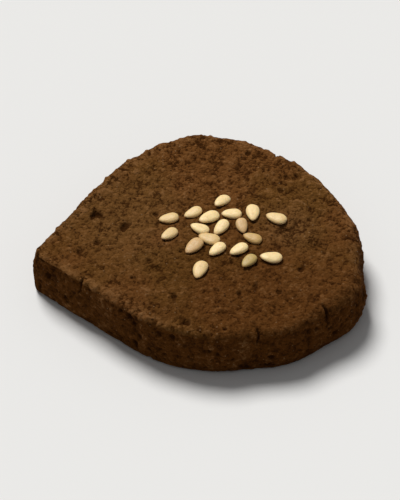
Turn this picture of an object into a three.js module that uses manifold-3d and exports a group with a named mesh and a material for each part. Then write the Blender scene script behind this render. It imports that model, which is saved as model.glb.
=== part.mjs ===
// A finger millet cookie: a thick slice of dark dough, cut from a hand-shaped log and baked, with a
// pinch of hulled sesame pressed into its top.
//
// Millimetres. The slice lies flat with +Z up, its sharp corner at -X and its long cut side at the
// front left. The origin is the middle of its bounding box, on the face that it rests on.

import * as THREE from "three";
import { mergeGeometries, mergeVertices } from "three/addons/utils/BufferGeometryUtils.js";
import Module from "manifold-3d";

const { lerp, smoothstep, degToRad, euclideanModulo } = THREE.MathUtils;

// ---------------------------------------------------------------------------- driving dimensions

// The slice from above, anticlockwise from the sharp corner. Its straight sides meet at these
// corners, and each corner is rounded to its own radius.
const CORNERS = [
  { x: -27.0, y: -3.0, radius: 2.0 },
  { x: -3.5, y: -22.0, radius: 22.0 },
  { x: 15.0, y: -20.0, radius: 11.5 },
  { x: 26.5, y: -11.0, radius: 6.5 },
  { x: 25.5, y: 11.5, radius: 22.5 },
  { x: -2.5, y: 27.5, radius: 17.0 },
];

const THICKNESS = 9.6; // at the middle
const DROOP = { fall: 0.6, halfWidth: 26, halfDepth: 21.5 }; // the top is this much lower at its rim
const TOP_EDGE = { crisp: 0.8, soft: 2.6, softest: degToRad(-6) }; // radii, and the soft side's way
const FOOT_EDGE = 0.9; // radius round the resting face
const WALL_BULGE = 0.4; // how far the side swells out at half its height

// The unevenness of the dough, as noise of each size and height.
const LUMPS = [
  { size: 12, height: 0.45 },
  { size: 3.6, height: 0.28 },
];
const FLAT_BELOW = 1.6; // the unevenness fades out over this height, down to the resting face

// The larger open pores of the top. turn is in degrees, anticlockwise from +X.
const LARGE_PORES = [
  { x: -16.2, y: 4.6, length: 2.4, width: 1.6, turn: 20 },
  { x: -11.4, y: 2.2, length: 2.0, width: 1.5, turn: 60 },
  { x: -6.6, y: 4.6, length: 1.4, width: 1.1, turn: 0 },
  { x: -18.6, y: -3.1, length: 1.5, width: 1.1, turn: 45 },
  { x: -15.9, y: -1.4, length: 1.2, width: 1.0, turn: 0 },
  { x: 16.5, y: -7.1, length: 1.8, width: 1.2, turn: 80 },
  { x: -3.6, y: -13.2, length: 2.6, width: 0.9, turn: 95 },
  { x: 9.3, y: -10.7, length: 2.4, width: 0.9, turn: 80 },
];

// The small pores, scattered over the top outside the seeds and all round the side.
const SMALL_PORES = { least: 0.8, most: 1.5, onTop: 20, onSide: 18, reach: 0.9, low: 0.3, high: 0.8 };
const PORE_DEPTH = 0.35; // of any pore, as a share of its width

// Cracks over the top edge. around is the share of the way round the outline from the sharp corner.
const CRACKS = [
  { around: 0.295, reach: 3.4, drop: 3.8, gape: 0.45 },
  { around: 0.38, reach: 2.4, drop: 5.5, gape: 0.45 },
  { around: 0.08, reach: 1.8, drop: 3.0, gape: 0.35 },
  { around: 0.66, reach: 2.4, drop: 3.4, gape: 0.4 },
];

// The pinch of sesame, in short rows across the top. Each row runs from one x to the other.
const SEED_ROWS = [
  { y: 7.0, from: 4.2, to: 4.2, seeds: 1 },
  { y: 4.0, from: -4.4, to: 12.9, seeds: 6 },
  { y: 2.0, from: 0.2, to: 7.0, seeds: 3 },
  { y: -0.6, from: -4.1, to: 9.0, seeds: 3 },
  { y: -2.9, from: -0.8, to: 6.4, seeds: 3 },
  { y: -5.4, from: 8.5, to: 12.2, seeds: 2 },
  { y: -7.2, from: 0.9, to: 0.9, seeds: 1 },
];
const SEED = { length: 3.4, width: 2.0, thickness: 1.0, sunk: 0.3, taper: 0.25 };
const SEED_TURN = { mostly: degToRad(45), either: degToRad(70) };
const SEED_SPREAD = { shift: 0.7, size: 0.1, pitch: degToRad(8) }; // each of them either way
const SEED_PATCH = { x: 4.2, y: 0, halfWidth: 11.5, halfDepth: 9.5 }; // has no small pores

// Which run of chance each kind of thing draws from.
const DRAW = {
  lumps: 12415,
  topPores: 2,
  sidePores: 3,
  seedShift: 76336,
  seedTurn: 55936,
  seedForm: 6,
};

// How finely the surfaces are cut into triangles.
const TOP_CELLS = 32; // across the top
const EDGE_STEPS = 3;
const WALL_STEPS = 5;
const FOOT_STEPS = 2;
const SEED_SIDES = 8;
const SEED_STEPS = 4;

// ------------------------------------------------------------------------------ repeatable chance

const SCATTER = [127.1, 311.7, 74.7, 269.5];
const STRETCH = 43758.5453;

/** A repeatable number from 0 to 1, for the run that it is drawn from and three whole numbers. */
function chance(draw, i, j = 0, k = 0) {
  const phase = i * SCATTER[0] + j * SCATTER[1] + k * SCATTER[2] + draw * SCATTER[3];
  const wave = Math.sin(phase) * STRETCH;
  return wave - Math.floor(wave);
}

/** A repeatable number from -1 to 1. */
function eitherWay(draw, i, j = 0) {
  return 2 * chance(draw, i, j) - 1;
}

/** Smooth noise from -1 to 1: chance at the corners of unit cubes, eased from one to the next. */
function noise(x, y, z) {
  const [i, j, k] = [x, y, z].map(Math.floor);
  const [u, v, w] = [x - i, y - j, z - k].map((t) => t * t * (3 - 2 * t));
  const corner = (a, b, c) => chance(DRAW.lumps, i + a, j + b, k + c);
  const alongX = (b, c) => lerp(corner(0, b, c), corner(1, b, c), u);
  const alongY = (c) => lerp(alongX(0, c), alongX(1, c), v);
  return 2 * lerp(alongY(0), alongY(1), w) - 1;
}

// ------------------------------------------------------------------------------ form of the slice

/** The outline of the slice: an arc at each corner, joined by straight sides. */
function outlinePath() {
  const path = new THREE.Path();
  CORNERS.forEach((corner, index) => {
    const here = new THREE.Vector2(corner.x, corner.y);
    const [back, on] = [CORNERS.at(index - 1), CORNERS[(index + 1) % CORNERS.length]].map(
      ({ x, y }) => new THREE.Vector2(x, y).sub(here).normalize(),
    );
    const half = Math.acos(back.dot(on)) / 2;
    const centre = back.clone().add(on).setLength(corner.radius / Math.sin(half)).add(here);
    const [start, end] = [back, on].map((side) =>
      here.clone().addScaledVector(side, corner.radius / Math.tan(half)).sub(centre).angle(),
    );
    path.absarc(centre.x, centre.y, corner.radius, start, end, false);
  });
  return path.closePath();
}

const OUTLINE = outlinePath();

/** The point at a share of the way round the outline, and the way that the side faces there. */
function outlineAt(around) {
  const step = 1e-3;
  const [point, behind, ahead] = [0, -step, step].map((shift) =>
    OUTLINE.getPoint(euclideanModulo(around + shift, 1)),
  );
  const along = ahead.sub(behind).normalize();
  return { point, outwards: new THREE.Vector2(along.y, -along.x) };
}

/** The radius of the top edge at a point of the outline: crisp on the left, soft on the right. */
function topEdge(point) {
  const softness = (1 + Math.cos(point.angle() - TOP_EDGE.softest)) / 2;
  return lerp(TOP_EDGE.crisp, TOP_EDGE.soft, softness ** 2);
}

/** The height of the top before its unevenness: highest in the middle. */
function plainTop({ x, y }) {
  return THICKNESS - DROOP.fall * ((x / DROOP.halfWidth) ** 2 + (y / DROOP.halfDepth) ** 2);
}

/** How far the uneven dough stands out from its plain form at a point of it. */
function unevenness({ x, y, z }) {
  const lumps = LUMPS.map(({ size, height }) => height * noise(x / size, y / size, z / size));
  return (lumps[0] + lumps[1]) * smoothstep(z, 0, FLAT_BELOW);
}

/** The point of the uneven top over a place on it. */
function topAt({ x, y }) {
  const plain = new THREE.Vector3(x, y, plainTop({ x, y }));
  return plain.setZ(plain.z + unevenness(plain));
}

/**
 * A point of the side. around is the share of the way round, and step counts the rows of cells from
 * the resting face up: round the foot, up the wall and over the top edge.
 */
function sideAt(around, step) {
  const { point, outwards } = outlineAt(around);
  const radius = topEdge(point);
  const top = plainTop(point.clone().addScaledVector(outwards, -radius));
  const wallStep = step - FOOT_STEPS;
  const edgeStep = wallStep - WALL_STEPS;
  let slope = 0; // of the way that the surface faces, from straight down to straight up
  let inset = -WALL_BULGE * Math.sin((Math.PI * wallStep) / WALL_STEPS);
  let z = lerp(FOOT_EDGE, top - radius, wallStep / WALL_STEPS);
  if (wallStep < 0) {
    slope = ((Math.PI / 2) * wallStep) / FOOT_STEPS;
    inset = FOOT_EDGE * (1 - Math.cos(slope));
    z = FOOT_EDGE * (1 + Math.sin(slope));
  } else if (edgeStep > 0) {
    slope = ((Math.PI / 2) * edgeStep) / EDGE_STEPS;
    inset = radius * (1 - Math.cos(slope));
    z = top - radius * (1 - Math.sin(slope));
  }
  const place = point.addScaledVector(outwards, -inset);
  const plain = new THREE.Vector3(place.x, place.y, z);
  const facing = new THREE.Vector3(
    outwards.x * Math.cos(slope),
    outwards.y * Math.cos(slope),
    Math.sin(slope),
  );
  return plain.clone().addScaledVector(facing, unevenness(plain));
}

/**
 * A point of the top. u and v run from -1 to 1 over a square, and the square's rings become rings
 * of the outline, so that the cells stay alike from the middle to the rim.
 */
function topCellAt(u, v) {
  const ring = Math.max(Math.abs(u), Math.abs(v));
  if (ring === 0) return topAt({ x: 0, y: 0 });
  let eighths = 7 + u / ring;
  if (u === ring) eighths = 1 + v / ring;
  else if (v === ring) eighths = 3 - u / ring;
  else if (u === -ring) eighths = 5 - v / ring;
  const { point, outwards } = outlineAt(eighths / 8);
  return topAt(point.clone().addScaledVector(outwards, -topEdge(point)).multiplyScalar(ring));
}

// --------------------------------------------------------------------------------------- surfaces

/** A surface over a grid of cells, from the place of each corner by its column and row. */
function gridSurface(columns, rows, place) {
  const points = [];
  const index = [];
  for (let row = 0; row <= rows; row += 1) {
    for (let column = 0; column <= columns; column += 1) {
      points.push(place(column, row));
      if (row === rows || column === columns) continue;
      const corner = row * (columns + 1) + column;
      const above = corner + columns + 1;
      index.push(corner, corner + 1, above + 1, corner, above + 1, above);
    }
  }
  return new THREE.BufferGeometry().setFromPoints(points).setIndex(index);
}

/** The flat face that the slice rests on, inside the foot of its side. */
function restingFace(round) {
  const ring = Array.from({ length: round }, (_, column) => sideAt(column / round, 0));
  const outline = ring.map(({ x, y }) => new THREE.Vector2(x, y));
  const triangles = THREE.ShapeUtils.triangulateShape(outline, []);
  const facingDown = triangles.flatMap(([a, b, c]) => [a, c, b]);
  return new THREE.BufferGeometry().setFromPoints(ring).setIndex(facingDown);
}

/** The whole slice as one closed surface, before its pores and cracks. */
function sliceGeometry() {
  const round = 4 * TOP_CELLS;
  const middle = TOP_CELLS / 2;
  const top = gridSurface(TOP_CELLS, TOP_CELLS, (column, row) =>
    topCellAt((column - middle) / middle, (row - middle) / middle),
  );
  const side = gridSurface(round, FOOT_STEPS + WALL_STEPS + EDGE_STEPS, (column, row) =>
    sideAt(column / round, row),
  );
  return mergeGeometries([top, side, restingFace(round)]);
}

// ------------------------------------------------------------------------------- pores and cracks

/** A pore's cutter: a rough ball, length along X, width along Y and less deep along Z. */
function poreCutter({ length, width }) {
  return new THREE.IcosahedronGeometry(1).scale(length / 2, width / 2, width * PORE_DEPTH);
}

/** The cutters of the larger pores. */
function largePoreCutters() {
  return LARGE_PORES.map((pore) => {
    const place = topAt(pore);
    return poreCutter(pore).rotateZ(degToRad(pore.turn)).translate(place.x, place.y, place.z);
  });
}

/** The size of a small pore, by chance. */
function smallPore(draw, index) {
  const length = lerp(SMALL_PORES.least, SMALL_PORES.most, chance(draw, index, 1) ** 2);
  return { length, width: length * lerp(0.7, 1, chance(draw, index, 2)) };
}

/** The cutters of the small pores in the top, outside the patch of seeds. */
function topPoreCutters() {
  const cutters = [];
  for (let index = 0; index < SMALL_PORES.onTop; index += 1) {
    const { point } = outlineAt(chance(DRAW.topPores, index, 4));
    const ring = SMALL_PORES.reach * Math.sqrt(chance(DRAW.topPores, index, 5));
    const place = topAt(point.multiplyScalar(ring));
    const across = (place.x - SEED_PATCH.x) / SEED_PATCH.halfWidth;
    const along = (place.y - SEED_PATCH.y) / SEED_PATCH.halfDepth;
    if (Math.hypot(across, along) < 1) continue;
    const cutter = poreCutter(smallPore(DRAW.topPores, index));
    cutter.rotateZ(Math.PI * chance(DRAW.topPores, index, 3)).translate(place.x, place.y, place.z);
    cutters.push(cutter);
  }
  return cutters;
}

/** The cutters of the small pores in the side, each upright. */
function sidePoreCutters() {
  return Array.from({ length: SMALL_PORES.onSide }, (_, index) => {
    const around = chance(DRAW.sidePores, index, 4);
    const up = lerp(SMALL_PORES.low, SMALL_PORES.high, chance(DRAW.sidePores, index, 5));
    const place = sideAt(around, FOOT_STEPS + up * WALL_STEPS);
    return poreCutter(smallPore(DRAW.sidePores, index))
      .rotateY(Math.PI / 2)
      .rotateZ(outlineAt(around).outwards.angle())
      .translate(place.x, place.y, place.z);
  });
}

/** A crack's cutter: a thin blade, pointed all round, that stands across the top edge. */
function crackCutter({ around, reach, drop, gape }) {
  const { point, outwards } = outlineAt(around);
  return new THREE.OctahedronGeometry(1)
    .scale(reach, gape, drop)
    .rotateZ(outwards.angle())
    .translate(point.x, point.y, plainTop(point));
}

// ------------------------------------------------------------------------------------------ seeds

/** One seed along X: round at one end, narrowing to the other, and flattened. */
function seedGeometry(size) {
  const profile = Array.from({ length: SEED_STEPS + 1 }, (_, step) => {
    const turn = (Math.PI * step) / SEED_STEPS;
    const radius = Math.sin(turn) * (1 - SEED.taper * Math.cos(turn));
    return new THREE.Vector2(step % SEED_STEPS === 0 ? 0 : radius, -Math.cos(turn));
  });
  return new THREE.LatheGeometry(profile, SEED_SIDES)
    .rotateZ(-Math.PI / 2)
    .scale((SEED.length * size) / 2, (SEED.width * size) / 2, SEED.thickness / 2);
}

/** Every seed of the pinch, each shifted and turned by chance and pressed a little into the top. */
function seedGeometries() {
  const places = SEED_ROWS.flatMap(({ y, from, to, seeds }) =>
    Array.from({ length: seeds }, (_, k) => ({ x: lerp(from, to, k / Math.max(seeds - 1, 1)), y })),
  );
  return places.map(({ x, y }, index) => {
    const place = topAt({
      x: x + SEED_SPREAD.shift * eitherWay(DRAW.seedShift, index, 1),
      y: y + SEED_SPREAD.shift * eitherWay(DRAW.seedShift, index, 2),
    });
    return seedGeometry(1 + SEED_SPREAD.size * eitherWay(DRAW.seedForm, index, 1))
      .rotateY(SEED_SPREAD.pitch * eitherWay(DRAW.seedForm, index, 2))
      .rotateZ(SEED_TURN.mostly + SEED_TURN.either * eitherWay(DRAW.seedTurn, index))
      .translate(place.x, place.y, place.z + SEED.thickness * (0.5 - SEED.sunk));
  });
}

// ------------------------------------------------------------------------------ the solid, joined

const wasm = await Module();
wasm.setup();

/** A closed surface as a solid that can be cut and joined. */
function solidOf(geometry) {
  const bare = geometry.clone();
  bare.deleteAttribute("normal");
  bare.deleteAttribute("uv");
  const { attributes, index } = mergeVertices(bare);
  return new wasm.Manifold(
    new wasm.Mesh({
      numProp: 3,
      vertProperties: attributes.position.array,
      triVerts: new Uint32Array(index.array),
    }),
  );
}

/** A solid's surface as geometry, moved so that the middle of its box's foot is the origin. */
function geometryOf(solid) {
  const { vertProperties, triVerts } = solid.getMesh();
  const geometry = new THREE.BufferGeometry();
  geometry.setAttribute("position", new THREE.BufferAttribute(vertProperties, 3));
  geometry.setIndex(new THREE.BufferAttribute(triVerts, 1));
  geometry.computeBoundingBox();
  const middle = geometry.boundingBox.getCenter(new THREE.Vector3());
  geometry.translate(-middle.x, -middle.y, -geometry.boundingBox.min.z);
  geometry.computeVertexNormals();
  return geometry;
}

/** The cookie: the slice, less its pores and cracks, with the seeds joined to it. */
function cookieMesh() {
  const cutters = [
    ...largePoreCutters(),
    ...topPoreCutters(),
    ...sidePoreCutters(),
    ...CRACKS.map(crackCutter),
  ];
  let cookie = solidOf(sliceGeometry());
  for (const cutter of cutters) cookie = cookie.subtract(solidOf(cutter));
  for (const seed of seedGeometries()) cookie = cookie.add(solidOf(seed));
  const crumb = new THREE.MeshStandardMaterial({ color: 0x56371a, roughness: 0.9, metalness: 0 });
  const mesh = new THREE.Mesh(geometryOf(cookie), crumb);
  mesh.name = "cookie";
  return mesh;
}

const part = new THREE.Group();
part.add(cookieMesh());

export default part;
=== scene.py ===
"""A finger millet cookie: a thick slice of dark baked dough with a pinch of sesame on its top.

The forms are worked out in millimetres, as the maker's drawing is, and their meshes are in metres.
The slice lies flat with +Z up, its sharp corner at -X and its long cut side at the front left.
"""

from __future__ import annotations

import logging
import math
from dataclasses import dataclass
from enum import Enum
from typing import ClassVar

import bmesh
import bpy
import numpy as np
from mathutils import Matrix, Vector


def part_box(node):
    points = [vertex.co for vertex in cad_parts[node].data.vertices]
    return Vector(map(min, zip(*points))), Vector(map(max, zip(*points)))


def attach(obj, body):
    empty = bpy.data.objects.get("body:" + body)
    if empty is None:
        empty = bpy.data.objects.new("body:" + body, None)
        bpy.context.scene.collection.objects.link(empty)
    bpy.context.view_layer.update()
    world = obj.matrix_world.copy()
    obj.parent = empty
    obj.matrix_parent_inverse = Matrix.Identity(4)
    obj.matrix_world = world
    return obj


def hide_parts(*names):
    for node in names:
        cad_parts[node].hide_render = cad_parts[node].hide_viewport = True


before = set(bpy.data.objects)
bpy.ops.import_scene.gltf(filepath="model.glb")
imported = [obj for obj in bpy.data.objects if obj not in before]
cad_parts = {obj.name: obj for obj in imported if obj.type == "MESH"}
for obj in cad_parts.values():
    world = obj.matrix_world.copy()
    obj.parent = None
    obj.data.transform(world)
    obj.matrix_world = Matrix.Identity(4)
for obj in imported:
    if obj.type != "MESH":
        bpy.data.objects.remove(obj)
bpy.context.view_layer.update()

log = logging.getLogger("cookie")

Array = np.ndarray
Colour = tuple[float, float, float]

MM = 0.001

# Keeps a direction from having no length, in millimetres.
NUDGE = 1e-9

# Corners nearer than this are made one, in millimetres.
WELD = 1e-3


# ------------------------------------------------------------------------------ repeatable chance


class Draw(Enum):
    """Which run of chance each kind of thing draws from."""

    LUMPS = 12415
    TOP_PORES = 2
    SIDE_PORES = 3
    SEED_SHIFT = 76336
    SEED_TURN = 55936
    SEED_FORM = 6
    SEED_TINT = 82653
    SEED_HUE = 4735
    CRUMB = 7
    COARSE_GRAINS = 8
    FINE_GRAINS = 9
    PINHOLES = 10
    STREAKS = 11
    WALL_PITS = 12


SCATTER = (127.1, 311.7, 74.7, 269.5)
CHANNEL = 183.3
STRETCH = 43758.5453


def chance(draw: Draw, i: Array, j: Array | float = 0, k: Array | float = 0, channel: int = 0) -> Array:
    """Repeatable numbers from 0 to 1: the fraction left by a steep sine of whole numbers.

    Args:
        draw: the run of chance.
        i, j, k: up to three arrays of whole numbers.
        channel: one of several numbers for the same place.

    Returns:
        One number for each place.
    """
    phase = i * SCATTER[0] + j * SCATTER[1] + k * SCATTER[2] + draw.value * SCATTER[3]
    wave = np.sin(phase + channel * CHANNEL) * STRETCH
    return wave - np.floor(wave)


def either_way(draw: Draw, i: Array, j: Array | float = 0) -> Array:
    """Repeatable numbers from -1 to 1."""
    return 2 * chance(draw, i, j) - 1


def noise(draw: Draw, places: Array) -> Array:
    """Smooth noise: chance at the corners of unit cubes, mixed by eased weights t * t * (3 - 2 * t).

    Args:
        draw: the run of chance.
        places: points, in units of the noise's own size.

    Returns:
        A number from -1 to 1 for each point.
    """
    cell = np.floor(places)
    ease = smoothstep(places - cell, 0, 1)
    total = np.zeros(places.shape[:-1])
    for corner in np.ndindex(2, 2, 2):
        weight = np.where(np.array(corner) == 1, ease, 1 - ease).prod(axis=-1)
        i, j, k = (cell[..., axis] + corner[axis] for axis in range(3))
        total += weight * chance(draw, i, j, k)
    return 2 * total - 1


def nearest_grain(draw: Draw, places: Array) -> tuple[Array, Array]:
    """Distance to the nearest of the grains that are scattered one to each unit cube.

    Args:
        draw: the run of chance.
        places: points, in units of the grains' spacing.

    Returns:
        The distance in the same units, and the nearest grain's own number from 0 to 1.
    """
    cell = np.floor(places)
    distance = np.full(places.shape[:-1], np.inf)
    luck = np.zeros(places.shape[:-1])
    for step in np.ndindex(3, 3, 3):
        cube = cell + np.array(step) - 1
        i, j, k = (cube[..., axis] for axis in range(3))
        shift = np.stack([chance(draw, i, j, k, channel) for channel in (1, 2, 3)], axis=-1)
        gap = np.linalg.norm(cube + shift - places, axis=-1)
        nearer = gap < distance
        distance = np.where(nearer, gap, distance)
        luck = np.where(nearer, chance(draw, i, j, k, 4), luck)
    return distance, luck


# ------------------------------------------------------------------------------------ small tools


def smoothstep(value: Array, low: float, high: float) -> Array:
    """Ease from 0 at low to 1 at high, as t * t * (3 - 2 * t)."""
    t = np.clip((value - low) / (high - low), 0, 1)
    return t * t * (3 - 2 * t)


def lerp(low: Array | float, high: Array | float, share: Array | float) -> Array:
    """The value at a share of the way from low to high."""
    return low + (high - low) * share


def unit(vector: Array) -> Array:
    """The same vectors at length 1."""
    return vector / np.linalg.norm(vector, axis=-1, keepdims=True)


def lifted(spots: Array, height: Array) -> Array:
    """Spots of a plan as points at their heights."""
    return np.concatenate([spots, height[..., None]], axis=-1)


def turned(first: Array, second: Array, turn: Array | float) -> tuple[Array, Array]:
    """Offsets on two axes, measured along and across a direction turned from the first of them."""
    cosine, sine = np.cos(turn), np.sin(turn)
    return first * cosine + second * sine, second * cosine - first * sine


def bowl(reach: Array, depth: float) -> Array:
    """Half of an ellipsoid: its depth falls from the middle as sqrt(1 - reach * reach)."""
    return depth * np.sqrt(np.clip(1 - reach**2, 0, 1))


def bell(distance: Array, middle: float, reach: float) -> Array:
    """A bell of a distance: exp(-t * t), with t how many reaches it is from the middle."""
    return np.exp(-(((distance - middle) / reach) ** 2))


def spread_mesh(name: str, points: Array, faces: Array, marks: dict[str, Array]) -> bpy.types.Object:
    """A smooth mesh object at the origin, from arrays.

    Args:
        name: the piece's name.
        points: the corners, in millimetres.
        faces: corner numbers, the same count to each face.
        marks: a number for each corner under each attribute's name, for the finish to read.

    Returns:
        The object, linked to the scene.
    """
    sides = faces.shape[1]
    mesh = bpy.data.meshes.new(name)
    mesh.vertices.add(len(points))
    mesh.vertices.foreach_set("co", (points * MM).astype(np.float32).ravel())
    mesh.loops.add(faces.size)
    mesh.loops.foreach_set("vertex_index", faces.astype(np.int32).ravel())
    mesh.polygons.add(len(faces))
    mesh.polygons.foreach_set("loop_start", np.arange(0, faces.size, sides, dtype=np.int32))
    mesh.polygons.foreach_set("use_smooth", np.ones(len(faces), dtype=bool))
    for mark, values in marks.items():
        attribute = mesh.attributes.new(mark, "FLOAT", "POINT")
        attribute.data.foreach_set("value", values.astype(np.float32))
    mesh.update(calc_edges=True)
    mesh.validate()
    piece = bpy.data.objects.new(name, mesh)
    bpy.context.scene.collection.objects.link(piece)
    return piece


# ---------------------------------------------------------------------------------------- outline


@dataclass(frozen=True)
class Corner:
    """A corner of the outline, before it is rounded to its radius."""

    x: float
    y: float
    radius: float


class Outline:
    """A closed outline: an arc at each corner, joined by straight sides, anticlockwise."""

    def __init__(self, corners: tuple[Corner, ...]) -> None:
        """Works out the arcs.

        Each arc's centre lies on the line that halves its corner, at radius / sin(half angle), and
        it touches the sides at radius / tan(half angle) from the corner.
        """
        spot = np.array([(corner.x, corner.y) for corner in corners])
        self.radius = np.array([corner.radius for corner in corners])
        back = unit(np.roll(spot, 1, axis=0) - spot)
        on = unit(np.roll(spot, -1, axis=0) - spot)
        half = np.arccos((back * on).sum(axis=1)) / 2
        self.centre = spot + unit(back + on) * (self.radius / np.sin(half))[:, None]
        touch = (self.radius / np.tan(half))[:, None]
        first = spot + back * touch - self.centre
        last = spot + on * touch - self.centre
        self.start = np.arctan2(first[:, 1], first[:, 0])
        self.sweep = (np.arctan2(last[:, 1], last[:, 0]) - self.start) % (2 * np.pi)
        self.side_from = self.centre + last
        self.side_to = np.roll(self.centre + first, -1, axis=0)
        sides = np.linalg.norm(self.side_to - self.side_from, axis=1)
        self.lengths = np.stack([self.radius * self.sweep, sides], axis=1).ravel()
        self.ends = np.cumsum(self.lengths)

    def at(self, around: Array) -> tuple[Array, Array]:
        """The outline by its length.

        Args:
            around: shares of the way round, from the first corner's arc.

        Returns:
            The points, and the unit vectors that point out from the outline there.
        """
        walked = (around % 1) * self.ends[-1]
        stretch = np.minimum(np.searchsorted(self.ends, walked, side="right"), len(self.ends) - 1)
        share = 1 - (self.ends[stretch] - walked) / self.lengths[stretch]
        corner = stretch // 2
        angle = self.start[corner] + self.sweep[corner] * share
        radial = np.stack([np.cos(angle), np.sin(angle)], axis=-1)
        on_arc = self.centre[corner] + radial * self.radius[corner][..., None]
        side = self.side_to[corner] - self.side_from[corner]
        on_side = self.side_from[corner] + side * share[..., None]
        across = unit(np.stack([side[..., 1], -side[..., 0]], axis=-1))
        is_arc = (stretch % 2 == 0)[..., None]
        return np.where(is_arc, on_arc, on_side), np.where(is_arc, radial, across)


# ------------------------------------------------------------------------------- unevenness, pores


@dataclass(frozen=True)
class Lump:
    """Noise of one size, and how high it stands."""

    size: float
    height: float


@dataclass(frozen=True)
class Pore:
    """An open pore: a hollow, length by width, turned anticlockwise from +X in degrees."""

    x: float
    y: float
    length: float
    width: float
    turn: float


@dataclass(frozen=True)
class Crack:
    """A crack over the top edge: its share of the way round, and how far it runs in, down and wide."""

    around: float
    reach: float
    drop: float
    gape: float


@dataclass(frozen=True)
class SeedRow:
    """A short row of seeds across the top."""

    y: float
    start: float
    end: float
    seeds: int


@dataclass
class Surface:
    """A stretch of the plain form: where its points are, and which way the dough faces there."""

    places: Array
    facing: Array

    @property
    def wall(self) -> Array:
        """How far the dough faces sideways, from 0 on the flat faces to 1 on the wall."""
        return 1 - np.abs(self.facing[..., 2])

    def joined(self, other: "Surface") -> "Surface":
        """Both stretches, one after the other."""
        return Surface(
            np.concatenate([self.places, other.places]), np.concatenate([self.facing, other.facing])
        )


@dataclass(frozen=True)
class Strewn:
    """Round bumps or pits strewn one to each cube of a spacing, where luck lets one be."""

    draw: Draw
    spacing: float
    share: float
    radius: tuple[float, float]
    height: float

    def at(self, places: Array, ragged: Array | float = 1) -> Array:
        """How high the bumps stand, or how deep the pits are, at points of the dough.

        A bump of radius r and height h has the form h * (1 - (d / r) ** 2) ** 1.5 at a distance d
        from its middle. Its radius is by luck, and its height goes with its radius. The distance is
        drawn out or in by how ragged its rim is.
        """
        gap, luck = nearest_grain(self.draw, places / self.spacing)
        size = np.clip((luck - 1 + self.share) / self.share, 0, 1)
        radius = lerp(*self.radius, size)
        bump = np.clip(1 - (gap * ragged * self.spacing / radius) ** 2, 0, 1) ** 1.5
        return np.where(luck > 1 - self.share, self.height * radius / self.radius[1] * bump, 0)


class Part:
    """One part of the cookie, whose piece takes a finish of its own."""

    slot: ClassVar[str]

    def dress(self, piece: bpy.types.Object, finish: bpy.types.Material) -> None:
        """Gives the part's piece its material and its place in the frame.

        Args:
            piece: the built piece.
            finish: its material.
        """
        piece.data.materials.append(finish)
        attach(piece, "root")
        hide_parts("cookie")


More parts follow.
